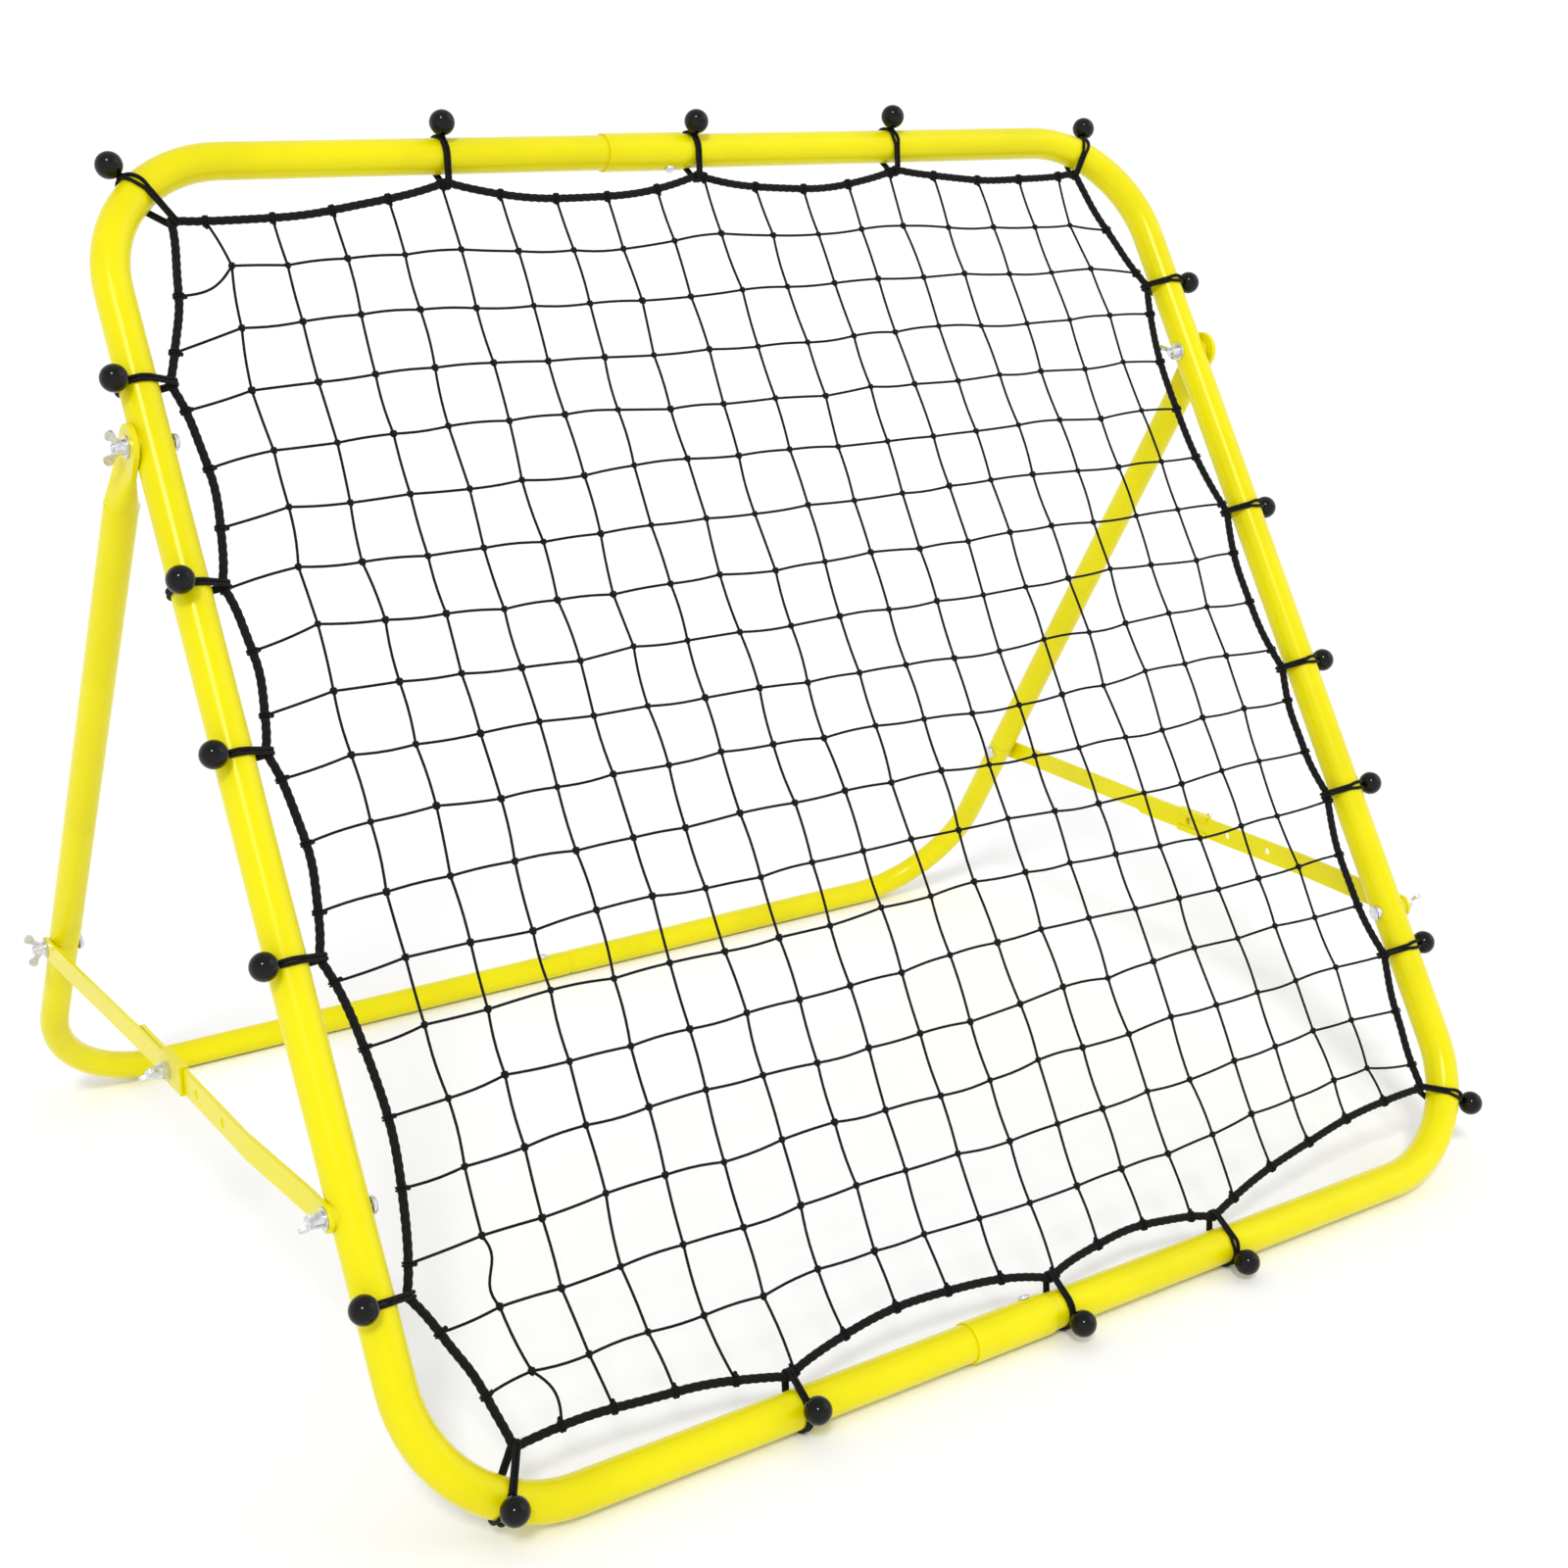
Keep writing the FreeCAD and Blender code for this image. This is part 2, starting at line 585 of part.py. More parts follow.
def base_route(side, end_x):
    """From just below the upper leg's mouth, down, round the bend and along the ground."""
    across = V(side * REAR_LEG_X, 0, 0)
    top = HINGE + LEG_DOWN * (PIVOT_ARM - LEG_MOUTH + PLUG_TAPER) + across
    ground = HINGE + LEG_DOWN * LEG_LENGTH
    return [(top, 0), (ground + across, REAR_BEND), (ground + V(end_x, 0, 0), 0)]


def leg_plug(side, less):
    """The base tube's reduced end in the upper leg; its radii are less by a wall for its bore."""
    mouth = HINGE + LEG_DOWN * (PIVOT_ARM - LEG_MOUTH) + V(side * REAR_LEG_X, 0, 0)
    plug_r = LEG_R - WALL - BEND_CLEAR - less
    plug = Part.makeCylinder(plug_r, PLUG_IN_LEG, mouth, LEG_DOWN * -1)
    return plug.fuse(Part.makeCone(plug_r, BASE_R - less, PLUG_TAPER, mouth, LEG_DOWN))


def base_holes(side):
    """Holes for the strut's rear pivot bolt and for the middle screw."""
    pivot_hole = rod(HOLE_R, side * (REAR_LEG_X - BASE_TUBE), side * (REAR_LEG_X + BASE_TUBE), REAR_PIVOT)
    middle = HINGE + LEG_DOWN * LEG_LENGTH
    return [pivot_hole, Part.makeCylinder(SCREW_HOLE_R, BASE_TUBE, middle, Z_AXIS)]


def rear_base_left():
    route = base_route(-1, SWAGE_LENGTH)
    outer = swept(route, BASE_R).fuse(leg_plug(-1, 0))
    inner = swept(route, BASE_R - WALL).fuse(leg_plug(-1, WALL))
    return outer.cut(inner).cut(base_holes(-1))


def rear_base_right():
    """The right half, with its end reduced to slide into the left half."""
    taper_start = SWAGE_LENGTH + 0.5
    taper_end = taper_start + SWAGE_TAPER
    plug_r = BASE_R - WALL - BEND_CLEAR
    route = base_route(1, taper_end)
    ground = route[-1][0]
    outer = swept(route, BASE_R).fuse(leg_plug(1, 0))
    inner = swept(route, BASE_R - WALL).fuse(leg_plug(1, WALL))
    outer = outer.fuse(taper(plug_r, BASE_R, taper_start, taper_end, ground))
    inner = inner.fuse(taper(plug_r - WALL, BASE_R - WALL, taper_start, taper_end, ground))
    outer = outer.fuse(rod(plug_r, -SWAGE_LENGTH, taper_start, ground))
    inner = inner.fuse(rod(plug_r - WALL, -SWAGE_LENGTH, taper_start, ground))
    return outer.cut(inner).cut(base_holes(1))


def taper(start_r, end_r, start, end, at):
    return Part.makeCone(start_r, end_r, end - start, V(start, at.y, at.z), X_AXIS)


def base_joint_screw():
    return screw(HINGE + LEG_DOWN * LEG_LENGTH, Z_AXIS, BASE_R)


# ---- struts ------------------------------------------------------------------------------------

def strip(plan, high):
    """A bar from its outline seen from above, drawn at half its height below the strut's line."""
    face = Part.Face(Part.makePolygon(plan + plan[:1]))
    face.translate(V(0, 0, -high / 2))
    return face.extrude(V(0, 0, high))


def jogged(inner, thick, high):
    """A strip whose inner face follows points seen from above."""
    outer = [point + V(thick, 0, 0) for point in reversed(inner)]
    return strip(inner + outer, high)


def front_bar():
    """The front bar: a flat bar with a round front end, jogged outwards, and a row of holes."""
    end = BAR_LENGTH
    inner = [V(BAR_X, 0, 0), V(BAR_X, BAR_JOG[0], 0), V(BAR_REAR_X, BAR_JOG[1], 0), V(BAR_REAR_X, end, 0)]
    bar = jogged(inner, BAR_THICK, BAR_HIGH)
    corners = [e for e in bar.Edges if abs(e.CenterOfMass.y - end) < 0.01 and e.Length < BAR_THICK + 0.01]
    bar = bar.makeFillet(BAR_HIGH * 0.3, corners)
    bar = bar.fuse(rod(BAR_HIGH / 2, BAR_X, BAR_X + BAR_THICK))
    holes = [rod(HOLE_R, BAR_X - 1, BAR_X + BAR_THICK + 1)]
    for step in range(HOLE_COUNT):
        along = STRUT - CLAMP_AT - step * HOLE_PITCH
        holes.append(rod(MARK_HOLE_R, BAR_REAR_X - 1, BAR_REAR_X + BAR_THICK + 1, V(0, along, 0)))
    return on_strut(bar.cut(holes))


def slider_bar():
    """The rear bar: jogged inwards from the leg, its front end folded round the front bar."""
    front = STRUT - SLIDER_LENGTH
    near, far = STRUT - SLIDER_JOG[1], STRUT - SLIDER_JOG[0]
    inner = [V(SLIDER_FRONT_X, front, 0), V(SLIDER_FRONT_X, near, 0)]
    inner += [V(SLIDER_REAR_X, far, 0), V(SLIDER_REAR_X, STRUT, 0)]
    bar = jogged(inner, SLIDER_THICK, SLIDER_HIGH)
    bar = bar.fuse(rod(SLIDER_HIGH / 2, SLIDER_REAR_X, SLIDER_REAR_X + SLIDER_THICK, V(0, STRUT, 0)))
    inside_high = BAR_HIGH + 2 * GAP
    outside_high = inside_high + 2 * GUIDE_WALL
    room_x = BAR_REAR_X - GAP
    fold_x = room_x - GUIDE_WALL
    depth = SLIDER_FRONT_X + SLIDER_THICK - fold_x
    fold = Part.makeBox(depth, GUIDE_LENGTH, outside_high, V(fold_x, front, -outside_high / 2))
    room = Part.makeBox(
        SLIDER_FRONT_X - room_x, GUIDE_LENGTH, inside_high, V(room_x, front, -inside_high / 2))
    mouth_high = inside_high - 2 * GUIDE_RETURN
    mouth = Part.makeBox(depth / 2, GUIDE_LENGTH, mouth_high, V(fold_x - 1, front, -mouth_high / 2))
    bar = bar.fuse(fold).cut([room, mouth])
    holes = [rod(OPEN_PIVOT_R, SLIDER_REAR_X - 1, SLIDER_REAR_X + SLIDER_THICK + 1, V(0, STRUT, 0))]
    outer_x = SLIDER_FRONT_X + SLIDER_THICK
    holes.append(rod(HOLE_R, SLIDER_FRONT_X - 1, outer_x + 1, V(0, STRUT - CLAMP_AT, 0)))
    return on_strut(bar.cut(holes).removeSplitter())


def clamp_nut():
    """The square weld nut on the rear bar's outer face, which the clamp screw turns in."""
    foot = SLIDER_FRONT_X + SLIDER_THICK
    corner = V(foot, STRUT - CLAMP_AT - CLAMP_NUT / 2, -CLAMP_NUT / 2)
    nut = Part.makeBox(CLAMP_NUT_HIGH, CLAMP_NUT, CLAMP_NUT, corner)
    upright = [e for e in nut.Edges if abs(e.CenterOfMass.x - foot - CLAMP_NUT_HIGH / 2) < 0.01]
    nut = nut.makeFillet(1.2, upright)
    return on_strut(nut.cut(rod(HOLE_R, foot - 1, foot + CLAMP_NUT_HIGH + 1, V(0, STRUT - CLAMP_AT, 0))))


# ---- pivots ------------------------------------------------------------------------------------

def hinge_parts(side):
    """Hinge bolt and washer. The left wing nut stands outside, the right one inside the frame."""
    seat = V(0, HINGE.y, HINGE.z)
    inside = HALF - FRONT_R
    if side < 0:
        washer_at = LEG_FACE + GAP
        foot = washer_at + WASHER_THICK + SEAT_GAP
        tip = foot + NUT_HUB + BOLT_PAST
        bolt_solid = bolt(inside, tip, seat)
        washer_solid = washer(washer_at, washer_at + WASHER_THICK, seat)
        nut = wing_nut(foot, seat, 20)
    else:
        foot = inside - WASHER_THICK - SEAT_GAP
        tip = foot - NUT_HUB - BOLT_PAST
        bolt_solid = bolt(LEG_FACE + GAP, tip, seat)
        washer_solid = washer(inside - WASHER_THICK, inside, seat)
        nut = wing_nut(foot, seat, 70, inward=True)
    return bolt_solid, washer_solid, nut


def outer_pivot(head_at, washer_at, seat, turn):
    """A bolt with its head inside, and its washer and wing nut outside."""
    foot = washer_at + WASHER_THICK + SEAT_GAP
    bolt_solid = bolt(head_at, foot + NUT_HUB + BOLT_PAST, seat)
    return bolt_solid, washer(washer_at, washer_at + WASHER_THICK, seat), wing_nut(foot, seat, turn)


def clamp_screw():
    """A wing screw in the weld nut. Its end stands just off the front bar."""
    foot = SLIDER_FRONT_X + SLIDER_THICK + CLAMP_NUT_HIGH + SEAT_GAP
    body = wing_head(55)
    body.translate(V(foot, CLAMP.y, CLAMP.z))
    return body.fuse(rod(BOLT_R, BAR_REAR_X + BAR_THICK + SEAT_GAP, foot + 1, CLAMP))


# ---- nodes -------------------------------------------------------------------------------------

def side_nodes(side, word):
    """The pieces that come once on each side."""
    hinge_bolt, hinge_washer, hinge_nut = hinge_parts(side)
    strut_bolt, strut_washer, strut_nut = outer_pivot(
        HALF - FRONT_R, BAR_X + BAR_THICK + GAP, PIVOT, 40)
    rear_bolt, rear_washer, rear_nut = outer_pivot(
        REAR_LEG_X - BASE_R, SLIDER_REAR_X + SLIDER_THICK + GAP, REAR_PIVOT, -30)
    front_saddle = saddle(HALF, FRONT_R, PIVOT_FACE, SADDLE_R)
    hinge_saddle = front_saddle.copy()
    hinge_saddle.translate(V(0, 0, HINGE_UP))
    strut_saddle = front_saddle.copy()
    strut_saddle.translate(V(0, 0, PIVOT_UP))
    rear_saddle = saddle(REAR_LEG_X, BASE_R, SLIDER_REAR_X - GAP, WASHER_R)
    rear_saddle.translate(V(0, 0, -PIVOT_ARM))
    shapes = {
        "hinge_saddle": lean_back(hinge_saddle),
        "hinge_bolt": hinge_bolt,
        "hinge_washer": hinge_washer,
        "hinge_wing_nut": hinge_nut,
        "strut_saddle": lean_back(strut_saddle),
        "strut_bolt": strut_bolt,
        "strut_washer": strut_washer,
        "strut_wing_nut": strut_nut,
        "strut_front_bar": front_bar(),
        "strut_rear_bar": slider_bar(),
        "strut_clamp_nut": clamp_nut(),
        "strut_clamp_screw": clamp_screw(),
        "rear_leg": rear_leg(),
        "rear_saddle": on_leg(rear_saddle),
        "rear_bolt": rear_bolt,
        "rear_washer": rear_washer,
        "rear_wing_nut": rear_nut,
    }
    return {name + "_" + word: on_side(shape, side) for name, shape in shapes.items()}


def all_nodes():
    nodes = {
        "front_tube_left": front_tube_left(),
        "front_tube_right": front_tube_right(),
        "front_joint_screws": front_joint_screws(),
        "rear_base_left": rear_base_left(),
        "rear_base_right": rear_base_right(),
        "base_joint_screw": base_joint_screw(),
        "border_rope": border_rope(),
        "net": net(),
    }
    for row in ("top", "bottom", "left", "right"):
        nodes["tie_balls_" + row] = tie_balls(row)
        nodes["tie_cords_" + row] = tie_cords(row)
    nodes.update(side_nodes(1, "right"))
    nodes.update(side_nodes(-1, "left"))
    return nodes


os.makedirs("parts", exist_ok=True)
for node, shape in all_nodes().items():
    if not shape.isValid():
        raise ValueError(node + " is not a valid solid")
    shape.exportStep("parts/" + node + ".step")
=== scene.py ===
# Pitch back rebounder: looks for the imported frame. Metres, Z up, the player stands at -Y.

import json
import math
import random

import bpy
import numpy as np
from mathutils import Matrix, Vector


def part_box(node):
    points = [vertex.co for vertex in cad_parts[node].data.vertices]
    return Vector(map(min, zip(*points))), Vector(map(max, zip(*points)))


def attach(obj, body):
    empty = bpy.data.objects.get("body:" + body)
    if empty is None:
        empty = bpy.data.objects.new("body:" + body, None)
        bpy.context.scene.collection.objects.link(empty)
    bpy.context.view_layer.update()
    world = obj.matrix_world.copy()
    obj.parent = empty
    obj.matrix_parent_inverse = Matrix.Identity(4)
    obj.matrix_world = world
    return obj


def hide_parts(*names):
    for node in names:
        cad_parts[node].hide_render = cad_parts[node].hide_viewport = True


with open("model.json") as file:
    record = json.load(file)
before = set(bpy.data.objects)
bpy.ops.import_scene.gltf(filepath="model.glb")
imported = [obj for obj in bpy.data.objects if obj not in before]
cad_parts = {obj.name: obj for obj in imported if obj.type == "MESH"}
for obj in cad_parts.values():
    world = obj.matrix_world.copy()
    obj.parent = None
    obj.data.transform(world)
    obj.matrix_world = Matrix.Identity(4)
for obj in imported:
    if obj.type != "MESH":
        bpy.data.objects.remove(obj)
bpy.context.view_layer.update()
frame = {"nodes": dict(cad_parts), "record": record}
RNG = random.Random(42)

# ---- sizes that the frame's design gives -------------------------------------------------------
LEAN = math.radians(32.5)        # front frame, back from upright
TUBE_R = 0.014
SPAN = 0.972                     # front frame, tube axis to tube axis
FRAME_BEND = 0.100
ROPE_R = 0.00325
ROPE_SAG = 0.08                  # rope's inward bow between ties, as a share of its span
CORNER_SAG = 0.045
CORD_ROOM = 0.0032               # cord band and its gap, beyond the rope
BALL_R = 0.010
NET_STRANDS = 18
NET_PITCH = 0.0475

# ---- sizes that only the look has --------------------------------------------------------------
ROPE_FULLNESS = 0.85             # under 1, the bow is flatter in its middle and steeper at the ties
ROPE_WANDER = 0.0006
ROPE_STEP = 0.002
ROPE_LAY = 0.019                 # length in which its three strands turn once

CORD_R = 0.00145                 # one cord of a doubled bungee
CORD_PARTING = (0.12, 0.8)       # how far a tie's two cords part on the left and on the right,
CORNER_PARTING = 0.85            # and at a corner, in cord radii
CORD_SINK = 0.0001               # how deep a cord presses into the tube's paint
CORD_OFF_ROPE = 0.0004
CORD_STEP = 0.0035
TUBE_TURN_STEPS = 44             # points of a cord's turn round the tube and round the rope
ROPE_TURN_STEPS = 15
CLOSE_AT_BALL = 0.5              # stretch, in radians of turn, where the two cords close up
CLOSE_AT_ROPE = 0.35

BALL_BORE = 0.0028
BALL_SEAM = 0.0001               # height of its moulding seam
LIP_ROUNDING = 0.0005            # how far its bore's lip is rounded off
NECK_R = 0.0024                  # whipping round a cord's ends, where they enter the ball
WHIPPING_R = 0.0007

STRAND_R = 0.00105
HITCH_KNOT = (0.0017, 0.0015, 0.0017)
HITCH_IN = 0.0010                # its middle, inside the turn of strand round the rope
KNOT_SIZE = (0.0026, 0.0032)
KNOT_JITTER = 0.0012
NET_DRIFT = 0.0013               # each slow wave in the knots' places
PULL_SHARE = 0.5                 # how much of the rope's scallops the nearest knots follow
PULL_REACH = 0.075
RUN_BOW = 0.0014                 # most bow of a run between two knots
# How far a strand's end lies off its knots: a row's down the slope, a column's to the right.
LEFT_DROP = ((0.0, 0.006), (0.5, 0.005), (0.65, 0.008), (0.8, 0.017), (0.9, 0.025))
RIGHT_DROP = ((0.8, 0.0), (0.845, 0.007), (0.9, 0.009))
TOP_SHIFT = ((-0.41, -0.014), (-0.40, 0.0))
BOTTOM_SHIFT = ((-0.41, 0.020), (-0.36, 0.011), (-0.30, 0.009), (-0.2, 0.006), (0.1, 0.003))
# Loose runs: the strand's number, the run's number on it, and the run's bow and half waves.
COLUMN_SLACK = {0: {0: (0.007, 1), 2: (-0.0035, 2)}}
ROW_SLACK = {17: {0: (0.007, 1)}}

SKY = 1.03                       # strength of the surroundings
FLOOR_DROP = 0.0004
CAMERA_AT = (-0.9798, -1.1247, 0.9329)    # its y from the bottom tube's axis
CAMERA_AZIMUTH = math.radians(-34.258)
CAMERA_ELEVATION = math.radians(16.134)
CAMERA_ROLL = math.radians(0.693)
LENS = 51.79                     # for a sensor 36 wide
LENS_SHIFT = (-0.0140, -0.0639)

HALF = SPAN / 2
BEND_FROM_MIDDLE = HALF - FRAME_BEND
AXIS_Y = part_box("front_tube_left")[0][1] + TUBE_R
AXIS_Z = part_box("front_tube_left")[0][2] + TUBE_R


# ---- places in the frame's plane ---------------------------------------------------------------
# Plane coordinates: x across, n through the frame (away from the player), t up the slope.

def to_world(point):
    x, n, t = point
    return (x, AXIS_Y + t * math.sin(LEAN) + n * math.cos(LEAN),
            AXIS_Z + t * math.cos(LEAN) - n * math.sin(LEAN))


def to_plane(point):
    x, y, z = point
    y, z = y - AXIS_Y, z - AXIS_Z
    return np.array((x, y * math.cos(LEAN) - z * math.sin(LEAN), y * math.sin(LEAN) + z * math.cos(LEAN)))


def islands(node):
    """Vertices of each separate solid of a CAD node, in plane coordinates."""
    mesh = frame["nodes"][node].data
    parent = list(range(len(mesh.vertices)))

    def root(i):
        while parent[i] != i:
            parent[i] = parent[parent[i]]
            i = parent[i]
        return i

    places = {}
    for index, vertex in enumerate(mesh.vertices):
        key = tuple(round(c, 6) for c in vertex.co)
        parent[index] = places.setdefault(key, index)
    for edge in mesh.edges:
        parent[root(edge.vertices[0])] = root(edge.vertices[1])
    groups = {}
    for index, vertex in enumerate(mesh.vertices):
        groups.setdefault(root(index), []).append(to_plane(vertex.co))
    return [np.array(group) for group in groups.values()]


def tie_at(ball, cord):
    """A tie's point on the tube's axis, its way out, its rope's point and its ball's centre."""
    centre = (ball.min(axis=0) + ball.max(axis=0)) / 2
    x, _, t = centre
    side = math.copysign(1, x)
    corner = abs(x) > BEND_FROM_MIDDLE and not FRAME_BEND < t < SPAN - FRAME_BEND
    if corner:
        bend = np.array((side * BEND_FROM_MIDDLE, 0, FRAME_BEND if t < HALF else SPAN - FRAME_BEND))
        out = np.array((x, 0, t)) - bend
        out /= np.linalg.norm(out)
        tube = bend + out * FRAME_BEND
    elif FRAME_BEND < t < SPAN - FRAME_BEND:
        out = np.array((side, 0, 0))
        tube = np.array((side * HALF, 0, t))
    else:
        out = np.array((0, 0, math.copysign(1, t - HALF)))
        tube = np.array((x, 0, HALF + out[2] * HALF))
    rope_in = -((cord - tube) @ out).min() - CORD_ROOM - ROPE_R
    turn = math.atan2((centre - tube)[1], (centre - tube) @ out)
    return {"tube": tube, "out": out, "rope": tube - out * rope_in, "rope_in": rope_in,
            "ball": centre, "turn": turn, "corner": corner}


def find_ties():
    """Every tie, in order round the frame, paired from the CAD balls and cords."""
    found = []
    for row in ("top", "right", "bottom", "left"):
        cords = islands("tie_cords_" + row)
        for ball in islands("tie_balls_" + row):
            cord = min(cords, key=lambda c: np.linalg.norm(c.mean(axis=0) - ball.mean(axis=0)))
            tie = tie_at(ball, cord)
            tie["row"] = row
            found.append(tie)
    return sorted(found, key=lambda tie: math.atan2(tie["rope"][0], tie["rope"][2] - HALF))


TIES = find_ties()


# ---- mesh helpers ------------------------------------------------------------------------------

class Build:
    """Collects vertices and faces of one piece."""

    def __init__(self):
        self.vertices = []
        self.faces = []
        self.count = 0

    def grid(self, points, close_rows, close_columns):
        """Quads over a rows x columns grid of points."""
        rows, columns = points.shape[:2]
        index = np.arange(rows * columns).reshape(rows, columns) + self.count
        if close_rows:
            index = np.vstack((index, index[:1]))
        if close_columns:
            index = np.hstack((index, index[:, :1]))
        quads = np.stack((index[:-1, :-1], index[:-1, 1:], index[1:, 1:], index[1:, :-1]), axis=-1)
        self.faces.extend(quads.reshape(-1, 4).tolist())
        self.vertices.append(points.reshape(-1, 3))
        self.count += rows * columns
        return index

    def cap(self, ring, centre, flip):
        """Fan from a ring of vertex numbers to a point."""
        self.vertices.append(np.array([centre]))
        ring = list(ring)
        for a, b in zip(ring, ring[1:] + ring[:1]):
            self.faces.append([b, a, self.count] if flip else [a, b, self.count])
        self.count += 1

    def piece(self, name, material):
        """The finished object, in world coordinates."""
        mesh = bpy.data.meshes.new(name)
        points = np.vstack(self.vertices)
        mesh.from_pydata([to_world(p) for p in points], [], self.faces)
        mesh.materials.append(material)
        mesh.polygons.foreach_set("use_smooth", [True] * len(mesh.polygons))
        mesh.update()
        obj = bpy.data.objects.new(name, mesh)
        bpy.context.collection.objects.link(obj)
        return obj


def frames_along(path, closed):
    """Two cross directions at each point of a path, with as little twist as possible."""
    ahead = np.roll(path, -1, axis=0)
    behind = np.roll(path, 1, axis=0)
    if not closed:
        ahead[-1] = path[-1]
        behind[0] = path[0]
    tangents = ahead - behind
    tangents /= np.linalg.norm(tangents, axis=1)[:, None]
    side = np.cross(tangents[0], (0.31, 0.9, 0.17))
    sides = []
    for tangent in tangents:
        side = side - tangent * (side @ tangent)
        side /= np.linalg.norm(side)
        sides.append(side)
    sides = np.array(sides)
    ups = np.cross(tangents, sides)
    if closed:
        turn = math.atan2(sides[0] @ ups[-1], sides[0] @ sides[-1])
        angles = np.linspace(0, turn, len(path), endpoint=False)[:, None]
        sides, ups = (sides * np.cos(angles) + ups * np.sin(angles),
                      ups * np.cos(angles) - sides * np.sin(angles))
    return sides, ups


def add_tube(build, path, radius, sides=8, closed=False, lobes=0, depth=0.0, lay=1.0):
    """A tube along a path. With lobes, its surface is that many strands laid round each other."""
    path = np.asarray(path, float)
    across, up = frames_along(path, closed)
    steps = np.linalg.norm(np.diff(path, axis=0), axis=1)
    travelled = np.concatenate(([0], np.cumsum(steps)))
    if closed and lobes:
        whole = travelled[-1] + np.linalg.norm(path[0] - path[-1])
        lay = whole / max(1, round(whole / lay))
    angles = np.linspace(0, 2 * math.pi, sides, endpoint=False)[None, :]
    radii = np.full((len(path), sides), radius)
    if lobes:
        phase = lobes * (angles - 2 * math.pi * travelled[:, None] / lay)
        radii = radius * (1 - depth * (0.5 - 0.5 * np.cos(phase)) ** 1.6)
    ring = (across[:, None, :] * (radii * np.cos(angles))[:, :, None]
            + up[:, None, :] * (radii * np.sin(angles))[:, :, None])
    index = build.grid(path[:, None, :] + ring, closed, True)
    if not closed:
        build.cap(index[0][:-1], path[0], True)
        build.cap(index[-1][:-1], path[-1], False)


def add_blob(build, centre, size, rough, rng, rings=6, sides=8):
    """A small lumpy knot."""
    rows = []
    for i in range(1, rings):
        polar = math.pi * i / rings
        row = []
        for j in range(sides):
            turn = 2 * math.pi * j / sides
            swell = 1 + rough * math.sin(2 * turn + 3 * polar) + rng.uniform(-rough, rough) * 0.6
            row.append((size[0] * swell * math.sin(polar) * math.cos(turn),
                        size[1] * math.cos(polar),
                        size[2] * swell * math.sin(polar) * math.sin(turn)))
        rows.append(row)
    index = build.grid(np.array(rows) + centre, False, True)
    build.cap(index[0][:-1], centre + np.array((0, size[1], 0)), True)
    build.cap(index[-1][:-1], centre - np.array((0, size[1], 0)), False)


def smooth_path(points, closed, step):
    """Points about a step apart on a smooth line through the given ones."""
    points = [np.asarray(p, float) for p in points]
    count = len(points)
    spans = count if closed else count - 1
    result = []
    for i in range(spans):
        here, following = points[i], points[(i + 1) % count]
        before = points[i - 1] if closed or i else here
        after = points[(i + 2) % count] if closed or i + 2 < count else following
        pieces = max(2, round(np.linalg.norm(following - here) / step))
        start_pull = (following - before) / 2
        end_pull = (after - here) / 2
        for k in range(pieces):
            s = k / pieces
            result.append((2 * s ** 3 - 3 * s ** 2 + 1) * here + (s ** 3 - 2 * s ** 2 + s) * start_pull
                          + (3 * s ** 2 - 2 * s ** 3) * following + (s ** 3 - s ** 2) * end_pull)
    if not closed:
        result.append(points[-1])
    return np.array(result)


# ---- materials ---------------------------------------------------------------------------------

class Nodes:
    """A short way to write a material's nodes."""

    def __init__(self, name):
        self.material = bpy.data.materials.new(name)
        self.material.use_nodes = True
        self.tree = self.material.node_tree
        self.shader = self.tree.nodes["Principled BSDF"]
        self.place = self.add("ShaderNodeTexCoord").outputs["Object"]

    def add(self, kind, **settings):
        node = self.tree.nodes.new(kind)
        for key, value in settings.items():
            setattr(node, key, value)
        return node

    def link(self, output, socket):
        self.tree.links.new(output, socket)

    def noise(self, scale, detail=3.0, rough=0.5):
        node = self.add("ShaderNodeTexNoise")
        node.inputs["Scale"].default_value = scale
        node.inputs["Detail"].default_value = detail
        node.inputs["Roughness"].default_value = rough
        self.link(self.place, node.inputs["Vector"])
        return node.outputs["Fac"]

    def wave(self, scale, distortion, rotation):
        mapping = self.add("ShaderNodeMapping")
        mapping.inputs["Rotation"].default_value = rotation
        self.link(self.place, mapping.inputs["Vector"])
        node = self.add("ShaderNodeTexWave")
        node.inputs["Scale"].default_value = scale
        node.inputs["Distortion"].default_value = distortion
        self.link(mapping.outputs["Vector"], node.inputs["Vector"])
        return node.outputs["Fac"]

    def ramp(self, value, stops):
        node = self.add("ShaderNodeValToRGB")
        elements = node.color_ramp.elements
        while len(elements) < len(stops):
            elements.new(0.5)
        for element, (position, colour) in zip(elements, stops):
            element.position = position
            element.color = (*colour, 1)
        self.link(value, node.inputs["Fac"])
        return node.outputs["Color"]

    def span(self, value, low, high):
        node = self.add("ShaderNodeMapRange")
        node.inputs["To Min"].default_value = low
        node.inputs["To Max"].default_value = high
        self.link(value, node.inputs["Value"])
        return node.outputs["Result"]

    def maths(self, operation, a, b):
        node = self.add("ShaderNodeMath", operation=operation)
        for socket, value in zip(node.inputs, (a, b)):
            if isinstance(value, (int, float)):
                socket.default_value = value
            else:
                self.link(value, socket)
        return node.outputs["Value"]

    def bump(self, height, strength, distance):
        node = self.add("ShaderNodeBump")
        node.inputs["Strength"].default_value = strength
        node.inputs["Distance"].default_value = distance
        self.link(height, node.inputs["Height"])
        self.link(node.outputs["Normal"], self.shader.inputs["Normal"])

    def set(self, **values):
        for key, value in values.items():
            socket = self.shader.inputs[key.replace("_", " ")]
            if isinstance(value, (int, float, tuple)):
                socket.default_value = value
            else:
                self.link(value, socket)


